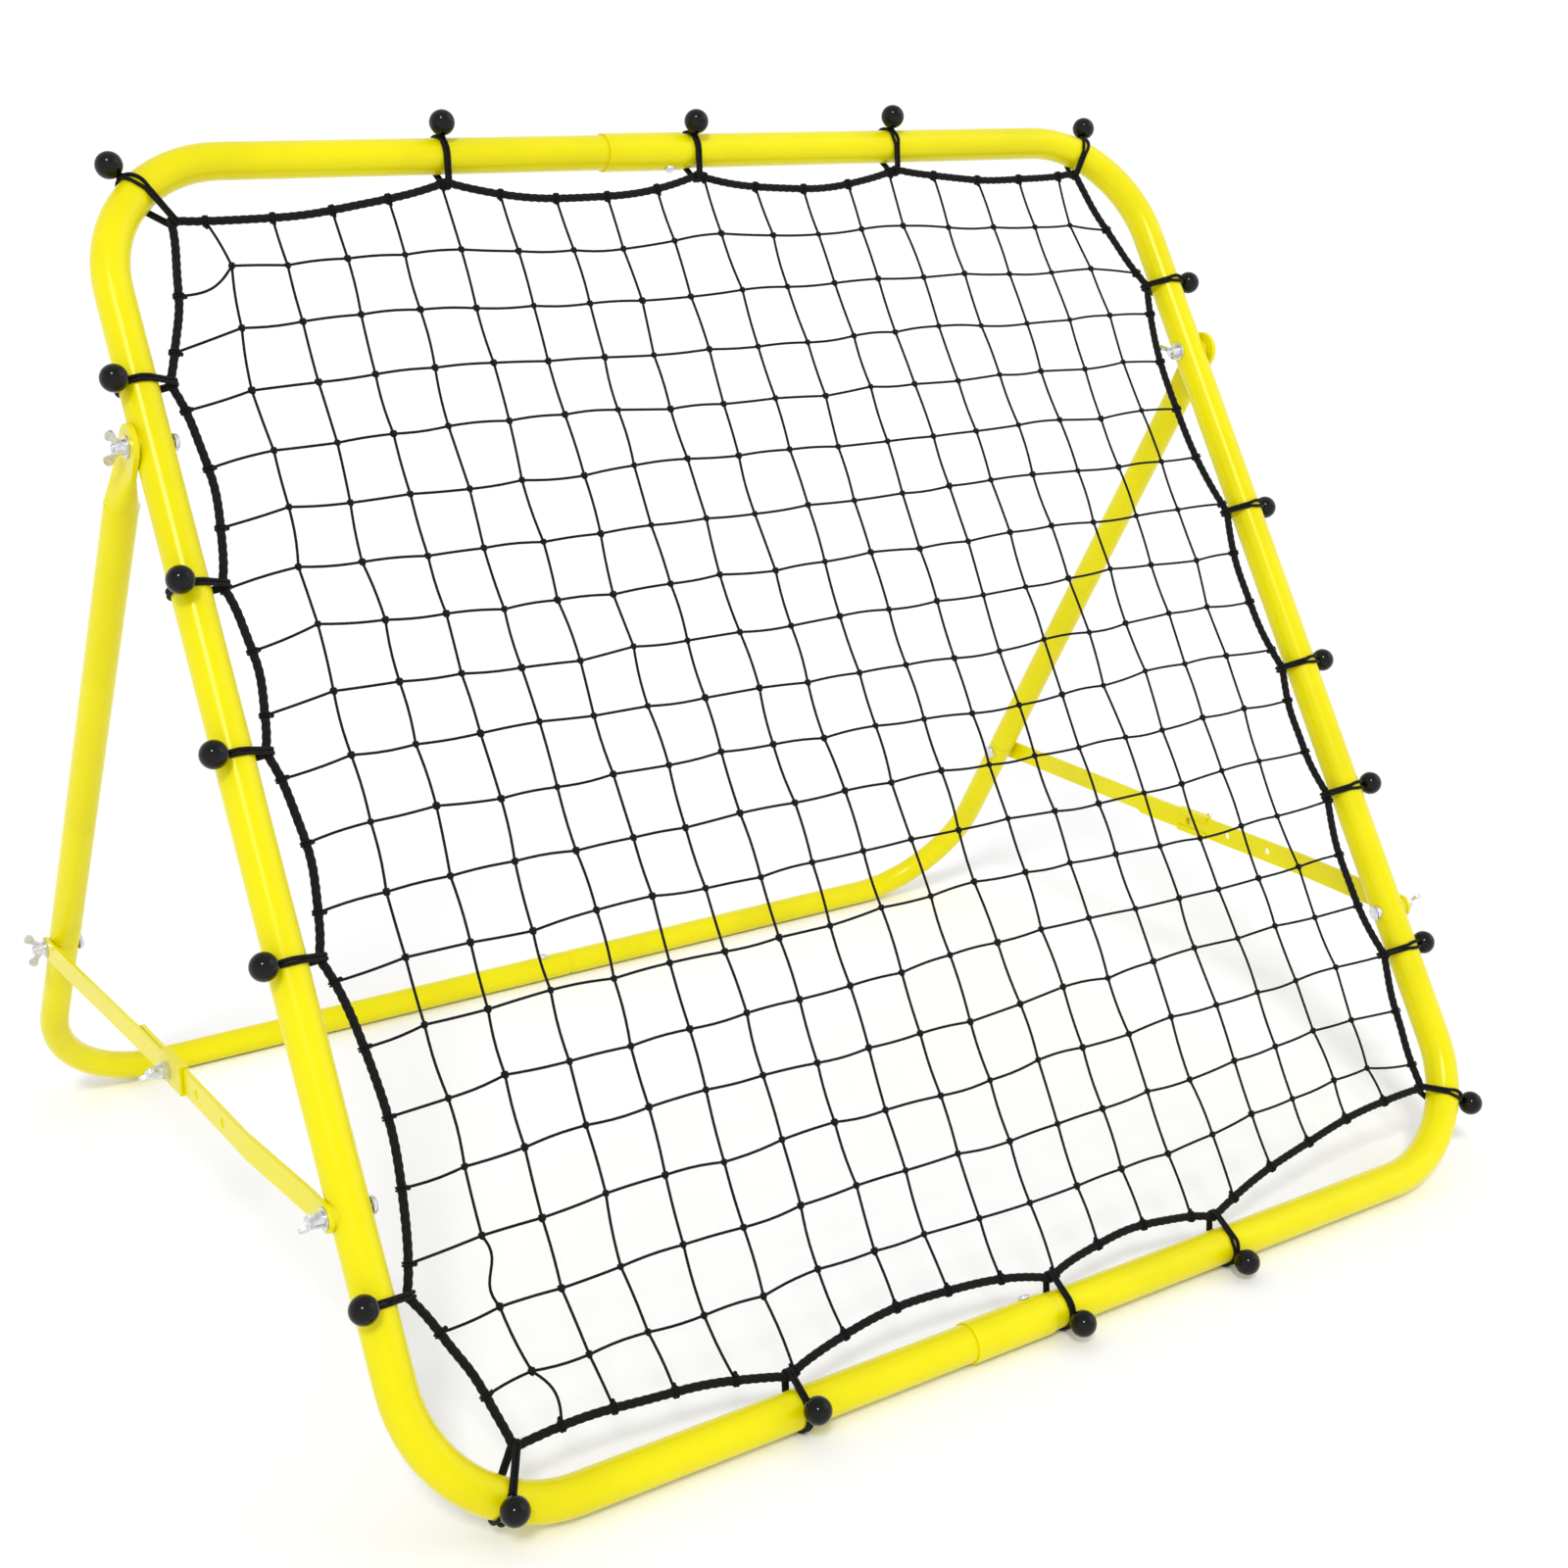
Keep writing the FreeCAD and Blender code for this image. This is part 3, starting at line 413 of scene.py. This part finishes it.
def grey(value):
    """A grey that leans a little to blue."""
    return (value, value, value * 1.04)


def yellow_paint():
    """Glossy powder coat: a faint orange peel, and a slightly uneven coat."""
    m = Nodes("yellow_paint")
    patches = m.noise(9.0, 4.0, 0.55)
    m.set(Base_Color=m.ramp(patches, [(0.32, (0.72, 0.64, 0.0)), (0.5, (0.77, 0.69, 0.0)),
                                      (0.72, (0.80, 0.72, 0.001))]))
    m.set(Roughness=m.span(m.noise(60.0, 3.0), 0.20, 0.28), Specular_IOR_Level=0.38,
          Specular_Tint=(1.0, 0.96, 0.5, 1))
    m.bump(m.noise(620.0, 2.0, 0.45), 0.03, 0.0003)
    return m.material


def zinc_plate():
    """Bright zinc with fine tumbling marks."""
    m = Nodes("zinc_plate")
    marks = m.noise(420.0, 4.0, 0.6)
    m.set(Base_Color=m.ramp(marks, [(0.3, (0.60, 0.61, 0.63)), (0.7, (0.84, 0.85, 0.87))]))
    m.set(Metallic=1.0, Roughness=m.span(m.noise(150.0), 0.22, 0.42))
    m.bump(marks, 0.12, 0.0002)
    return m.material


def cord_material(name, base, light, yarns_per_metre):
    """Black synthetic cord: crossing yarn strands and a few paler fibres, with painted shade that darkens
    the colour in the grooves of the weave.
    """
    m = Nodes(name)
    one_way = m.wave(yarns_per_metre, 1.5, (0, 0, 0.8))
    other_way = m.wave(yarns_per_metre, 1.5, (0.9, 0, -0.8))
    weave_relief_and_shade = m.maths("MULTIPLY", one_way, other_way)
    fibres = m.noise(1400.0, 3.0, 0.7)
    # Painted shade: the colour follows the weave's bump, darker in its grooves and paler on its crests; the
    # fibre noise adds the cord's own paler flecks.
    m.set(Base_Color=m.ramp(m.maths("MULTIPLY", weave_relief_and_shade, fibres), [(0.08, grey(base)), (0.5, grey(light))]))
    m.set(Roughness=m.span(fibres, 0.55, 0.8), Specular_IOR_Level=0.14, Sheen_Weight=0.02)
    m.bump(m.maths("ADD", weave_relief_and_shade, m.maths("MULTIPLY", fibres, 0.5)), 0.5, 0.0003)
    return m.material


def ball_plastic():
    """Glossy black moulded plastic with the faintest haze."""
    m = Nodes("ball_plastic")
    haze = m.noise(90.0, 4.0)
    m.set(Base_Color=m.ramp(haze, [(0.3, grey(0.001)), (0.75, grey(0.003))]))
    m.set(Roughness=m.span(haze, 0.05, 0.09), Specular_IOR_Level=0.25)
    m.bump(m.noise(260.0, 2.0), 0.06, 0.0004)
    return m.material


def spacer_plastic():
    """Yellow nylon, a little duller than the paint."""
    m = Nodes("spacer_plastic")
    grain = m.noise(900.0, 3.0)
    m.set(Base_Color=m.ramp(grain, [(0.3, (0.70, 0.61, 0.01)), (0.8, (0.77, 0.68, 0.02))]))
    m.set(Roughness=m.span(grain, 0.45, 0.65), Specular_IOR_Level=0.3)
    m.bump(grain, 0.25, 0.0003)
    return m.material


MATERIALS = {
    "yellow_paint": yellow_paint(),
    "zinc_plate": zinc_plate(),
    "net_cord": cord_material("net_cord", 0.002, 0.012, 520.0),
    "border_rope": cord_material("border_rope", 0.002, 0.014, 420.0),
    "bungee_cord": cord_material("bungee_cord", 0.002, 0.018, 360.0),
    "ball_plastic": ball_plastic(),
    "spacer_plastic": spacer_plastic(),
}


def dress_cad_nodes():
    """Give every CAD node the material of its slot."""
    for entry in frame["record"]["subparts"]:
        material = MATERIALS[entry["material_slot"]]
        mesh = frame["nodes"][entry["node"]].data
        mesh.materials.clear()
        mesh.materials.append(material)


# ---- border rope -------------------------------------------------------------------------------

def rope_path():
    """The rope's axis: pulled out at each tie and bowed inwards between them."""
    points = []
    for this, following in zip(TIES, TIES[1:] + TIES[:1]):
        start, end = this["rope"], following["rope"]
        along = end - start
        length = np.linalg.norm(along)
        inward = np.array((along[2], 0, -along[0])) / length
        sag = length * (CORNER_SAG if this["corner"] or following["corner"] else ROPE_SAG)
        pieces = max(6, round(length / ROPE_STEP))
        for k in range(pieces):
            s = k / pieces
            wander = ROPE_WANDER * math.sin(2 * math.pi * s * 2 + 9 * start[0])
            bow = sag * (4 * s * (1 - s)) ** ROPE_FULLNESS + wander * math.sin(math.pi * s)
            points.append(start + along * s + inward * bow)
    return np.array(points)


ROPE_PATH = rope_path()


def border_rope():
    """Three strands laid round each other, all the way round the net."""
    build = Build()
    add_tube(build, ROPE_PATH, ROPE_R, sides=18, closed=True, lobes=3, depth=0.16, lay=ROPE_LAY)
    return build.piece("border_rope_laid", MATERIALS["border_rope"])


# ---- net ---------------------------------------------------------------------------------------

def rope_crossings(axis, value):
    """Where the rope meets the line on which one plane coordinate has a value: low and high."""
    steps = np.roll(ROPE_PATH, -1, axis=0) - ROPE_PATH
    before = ROPE_PATH[:, axis] - value
    after = before + steps[:, axis]
    hits = np.flatnonzero((before * after <= 0) & (before != after))
    shares = before[hits] / (before[hits] - after[hits])
    places = ROPE_PATH[hits] + steps[hits] * shares[:, None]
    tangents = steps[hits] / np.linalg.norm(steps[hits], axis=1)[:, None]
    order = np.argsort(places[:, 2 - axis])
    return [(places[i], tangents[i]) for i in (order[0], order[-1])]


def usual_crossings(axis):
    """Where the rope stands on average on the two sides that a plane coordinate runs along."""
    middle = 0 if axis == 0 else HALF
    met = [rope_crossings(axis, middle + step * NET_PITCH) for step in range(-7, 8)]
    return [np.mean([pair[end][0][2 - axis] for pair in met]) for end in (0, 1)]


USUAL_CROSSINGS = {axis: usual_crossings(axis) for axis in (0, 2)}


def border_pull(x, t):
    """How far the rope's scallops draw a point of the net across and up."""
    pull = np.zeros(2)
    for axis, place, value in ((0, t, x), (2, x, t)):
        for crossing, usual in zip(rope_crossings(axis, value), USUAL_CROSSINGS[axis]):
            there = crossing[0][2 - axis]
            near = math.exp(-abs(there - place) / PULL_REACH)
            pull[1 if axis == 0 else 0] += PULL_SHARE * (there - usual) * near
    return pull


def knots():
    """The net's knots, a little off the even grid, in plane coordinates."""
    offs = [(i - (NET_STRANDS - 1) / 2) * NET_PITCH for i in range(NET_STRANDS)]
    waves = [(RNG.uniform(0.5, 2.2), RNG.uniform(0.5, 2.2), RNG.uniform(0, 6.3)) for _ in range(6)]
    grid = np.zeros((NET_STRANDS, NET_STRANDS, 3))
    for i, x in enumerate(offs):
        for j, t in enumerate(offs):
            drift = border_pull(x, HALF + t)
            for k, (a, b, phase) in enumerate(waves):
                drift[k % 2] += math.sin(a * i * 0.55 + b * j * 0.55 + phase) * NET_DRIFT
            jitter = [RNG.gauss(0, KNOT_JITTER) for _ in range(3)]
            grid[i, j] = (x + drift[0] + jitter[0], 0.3 * jitter[1], HALF + t + drift[1] + jitter[2])
    return grid


def strand(build, line, slack):
    """One strand through its knots. slack gives the runs that hang loose: bow and half waves."""
    points = []
    for run, (a, b) in enumerate(zip(line, line[1:])):
        along = b - a
        across = np.array((along[2], 0, -along[0])) / np.linalg.norm(along)
        bow, waves = slack.get(run, (RNG.uniform(-RUN_BOW, RUN_BOW), 1))
        pieces = 12 if run in slack else 5
        for k in range(pieces):
            s = k / pieces
            points.append(a + along * s + across * bow * math.sin(waves * math.pi * s))
    points.append(line[-1])
    add_tube(build, points, STRAND_R, sides=7)


def hitch(build, place, tangent):
    """A strand's end: a turn round the rope, and a small knot on the net's side."""
    across = np.array((0.0, 1.0, 0.0))
    inward = np.cross(tangent, across)
    if inward @ (np.array((0, 0, HALF)) - place) < 0:
        inward = -inward
    reach = ROPE_R + STRAND_R * 0.5
    for beside in (-0.9, 0.9):
        ring = []
        for k in range(14):
            angle = 2 * math.pi * k / 14
            ring.append(place + tangent * beside * STRAND_R
                        + inward * reach * math.cos(angle) + across * reach * math.sin(angle))
        add_tube(build, ring, STRAND_R * 0.8, sides=6, closed=True)
    add_blob(build, place + inward * (reach + HITCH_IN), HITCH_KNOT, 0.12, RNG)


def end_shift(place, table):
    """How far the end of the strand at a place lies off, from a table of places and shifts."""
    return float(np.interp(place, *zip(*table)))


def net():
    """Columns and rows of strands, tied to the rope, with a knot at each crossing."""
    build = Build()
    grid = knots()
    for i in range(NET_STRANDS):
        place = grid[i].mean(axis=0)[0]
        low = rope_crossings(0, place + end_shift(place, BOTTOM_SHIFT))[0]
        high = rope_crossings(0, place + end_shift(place, TOP_SHIFT))[1]
        strand(build, [low[0], *grid[i], high[0]], COLUMN_SLACK.get(i, {}))
        hitch(build, *low)
        hitch(build, *high)
        level = grid[:, i].mean(axis=0)[2]
        low = rope_crossings(2, level - end_shift(level, LEFT_DROP))[0]
        high = rope_crossings(2, level - end_shift(level, RIGHT_DROP))[1]
        strand(build, [low[0], *grid[:, i], high[0]], ROW_SLACK.get(i, {}))
        hitch(build, *low)
        hitch(build, *high)
    for knot in grid.reshape(-1, 3):
        size = RNG.uniform(*KNOT_SIZE)
        add_blob(build, knot, (size, size * 0.75, size), 0.14, RNG)
    return build.piece("knotted_net", MATERIALS["net_cord"])


# ---- ties --------------------------------------------------------------------------------------

def tie_axes(tie):
    """Out from the frame, along the tube, and away from the player."""
    out = tie["out"]
    through = np.array((0.0, 1.0, 0.0))
    return out, np.cross(through, out), through


def cord_loop(tie, lane):
    """One cord of a tie: round the tube and round the rope, closest to the other at both ends."""
    out, along, through = tie_axes(tie)
    tube_r = TUBE_R - CORD_SINK + CORD_R
    rope_r = ROPE_R + CORD_OFF_ROPE + CORD_R
    on_right = int(tie["tube"][0] > NET_PITCH / 2)
    parting = CORNER_PARTING if tie["corner"] else CORD_PARTING[on_right]
    lean = math.asin((tube_r - rope_r) / tie["rope_in"])
    start = math.pi / 2 + lean
    turns = [(tie["tube"], tube_r, -start + 2 * start * k / TUBE_TURN_STEPS)
             for k in range(TUBE_TURN_STEPS + 1)]
    turns += [(tie["rope"], rope_r, start + (2 * math.pi - 2 * start) * k / ROPE_TURN_STEPS)
              for k in range(1, ROPE_TURN_STEPS)]
    points = []
    for centre, radius, turn in turns:
        near_ball, near_rope = 0.0, 1.0
        if centre is tie["tube"]:
            near_ball = math.exp(-((turn - tie["turn"]) / CLOSE_AT_BALL) ** 2)
            near_rope = math.exp(-((start - abs(turn)) / CLOSE_AT_ROPE) ** 2)
        off = lane * CORD_R * (1.0 + parting * (1 - max(near_ball, near_rope)))
        round_it = out * math.cos(turn) + through * math.sin(turn)
        points.append(centre + round_it * radius + along * off)
    return smooth_path(points, True, CORD_STEP)


def tie_cords(row):
    """The doubled cords of one side, each with its neck at the ball."""
    build = Build()
    for tie in TIES:
        if tie["row"] != row:
            continue
        for lane in (-1, 1):
            add_tube(build, cord_loop(tie, lane), CORD_R, sides=12, closed=True,
                     lobes=6, depth=0.06, lay=0.007)
        add_neck(build, tie)
    return build.piece("bungee_cords_" + row, MATERIALS["bungee_cord"])


def add_neck(build, tie):
    """The cord's two ends, round the doubled cord and into the ball."""
    out, along, through = tie_axes(tie)
    way = (tie["ball"] - tie["tube"]) / np.linalg.norm(tie["ball"] - tie["tube"])
    round_tube = np.cross(along, way)
    foot = tie["ball"] - way * BALL_R
    for side in (-1, 1):
        path = [foot - way * 0.0020 + round_tube * side * 0.0010 + along * side * 0.0030,
                foot + round_tube * side * 0.0008 + along * side * 0.0014,
                foot + way * 0.0030 + along * side * 0.0006]
        add_tube(build, smooth_path(path, False, 0.001), CORD_R * 0.9, sides=10)
    whipping = [foot - way * 0.0002 + (along * math.cos(a) + round_tube * math.sin(a)) * NECK_R
                for a in (2 * math.pi * k / 16 for k in range(16))]
    add_tube(build, whipping, WHIPPING_R, sides=8, closed=True)


def ball_profile():
    """Half outline of a moulded ball with a bored foot: distance out along its bore, and radius."""
    lip = math.asin(BALL_BORE / BALL_R)
    outline = []
    for k in range(37):
        polar = (math.pi - lip) * k / 36
        seam = BALL_SEAM * math.exp(-((polar - math.pi / 2) / 0.03) ** 2)
        rounding = LIP_ROUNDING * math.exp(-((math.pi - lip - polar) / 0.07) ** 2)
        reach = BALL_R + seam - rounding
        outline.append((reach * math.cos(polar), reach * math.sin(polar)))
    end = outline[-1][0]
    return outline[1:] + [(end + 0.0012 * k, BALL_BORE * 0.93) for k in range(1, 5)]


def tie_balls(row):
    """The balls of one side, turned round the line from the tube through each ball."""
    build = Build()
    profile = ball_profile()
    sides = 36
    for tie in TIES:
        if tie["row"] != row:
            continue
        way = (tie["ball"] - tie["tube"]) / np.linalg.norm(tie["ball"] - tie["tube"])
        first = np.cross(way, tie_axes(tie)[1])
        second = np.cross(way, first)
        turns = [2 * math.pi * k / sides for k in range(sides)]
        rings = [[tie["ball"] + way * up + (first * math.cos(a) + second * math.sin(a)) * radius
                  for a in turns] for up, radius in profile]
        index = build.grid(np.array(rings), False, True)
        build.cap(index[0][:-1], tie["ball"] + way * BALL_R, True)
        build.cap(index[-1][:-1], tie["ball"] + way * profile[-1][0], False)
    return build.piece("bungee_balls_" + row, MATERIALS["ball_plastic"])


# ---- scene -------------------------------------------------------------------------------------

def sky(world):
    """White round the horizon and greyer overhead, so that the floor runs into it unseen."""
    tree = world.node_tree
    background = tree.nodes["Background"]
    place = tree.nodes.new("ShaderNodeTexCoord")
    split = tree.nodes.new("ShaderNodeSeparateXYZ")
    ramp = tree.nodes.new("ShaderNodeValToRGB")
    low, high = ramp.color_ramp.elements
    low.position, low.color = 0.24, (1.0, 1.0, 1.0, 1)
    high.position, high.color = 0.62, (0.76, 0.76, 0.77, 1)
    tree.links.new(place.outputs["Generated"], split.inputs["Vector"])
    tree.links.new(split.outputs["Z"], ramp.inputs["Fac"])
    tree.links.new(ramp.outputs["Color"], background.inputs["Color"])
    background.inputs["Strength"].default_value = SKY


def sun(name, place, strength, angle):
    """A sun that shines from a place towards the origin, as wide as its angle in degrees."""
    light = bpy.data.lights.new(name, "SUN")
    light.energy = strength
    light.angle = math.radians(angle)
    obj = bpy.data.objects.new(name, light)
    obj.rotation_euler = Vector(place).to_track_quat("Z", "Y").to_euler()
    bpy.context.collection.objects.link(obj)


def studio():
    """Near-white floor and surroundings, a soft key light and a weak fill."""
    bpy.ops.mesh.primitive_circle_add(vertices=96, radius=80, fill_type="NGON", location=(0, 0, -FLOOR_DROP))
    floor = bpy.context.object
    floor.name = "floor"
    m = Nodes("floor_paper")
    m.set(Base_Color=m.ramp(m.noise(3.0), [(0.3, (0.945, 0.943, 0.948)), (0.7, (0.955, 0.953, 0.958))]))
    m.set(Roughness=0.95, Specular_IOR_Level=0.1)
    floor.data.materials.append(m.material)
    world = bpy.data.worlds.new("studio")
    world.use_nodes = True
    sky(world)
    bpy.context.scene.world = world
    sun("key", (-0.55, -0.75, 1.0), 1.15, 11)
    sun("fill", (0.9, -0.5, 0.7), 0.25, 40)


def camera():
    """At the photograph's viewing angle, a little above the net's middle and to its left."""
    data = bpy.data.cameras.new("camera")
    data.lens = LENS
    data.sensor_width = 36.0
    data.shift_x, data.shift_y = LENS_SHIFT
    obj = bpy.data.objects.new("camera", data)
    level = math.cos(CAMERA_ELEVATION)
    back = Vector((math.sin(CAMERA_AZIMUTH) * level, -math.cos(CAMERA_AZIMUTH) * level,
                   math.sin(CAMERA_ELEVATION)))
    right = Vector((math.cos(CAMERA_AZIMUTH), math.sin(CAMERA_AZIMUTH), 0))
    up = back.cross(right)
    turned = right * math.cos(CAMERA_ROLL) + up * math.sin(CAMERA_ROLL)
    matrix = Matrix((turned, back.cross(turned), back)).transposed().to_4x4()
    x, y, z = CAMERA_AT
    matrix.translation = Vector((x, AXIS_Y + y, z))
    obj.matrix_world = matrix
    bpy.context.collection.objects.link(obj)
    bpy.context.scene.camera = obj


def place_pieces():
    """Every piece on its body and in its material slot, in place of its CAD node."""
    pieces = [(border_rope(), ("border_rope",), "border_rope"), (net(), ("net",), "net_cord")]
    for row in ("top", "right", "bottom", "left"):
        pieces.append((tie_cords(row), ("tie_cords_" + row,), "bungee_cord"))
        pieces.append((tie_balls(row), ("tie_balls_" + row,), "ball_plastic"))
    for piece, replaced, slot in pieces:
        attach(piece, "front_frame")
        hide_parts(*replaced)


bpy.context.scene.view_settings.view_transform = "Standard"
dress_cad_nodes()
place_pieces()
studio()
camera()
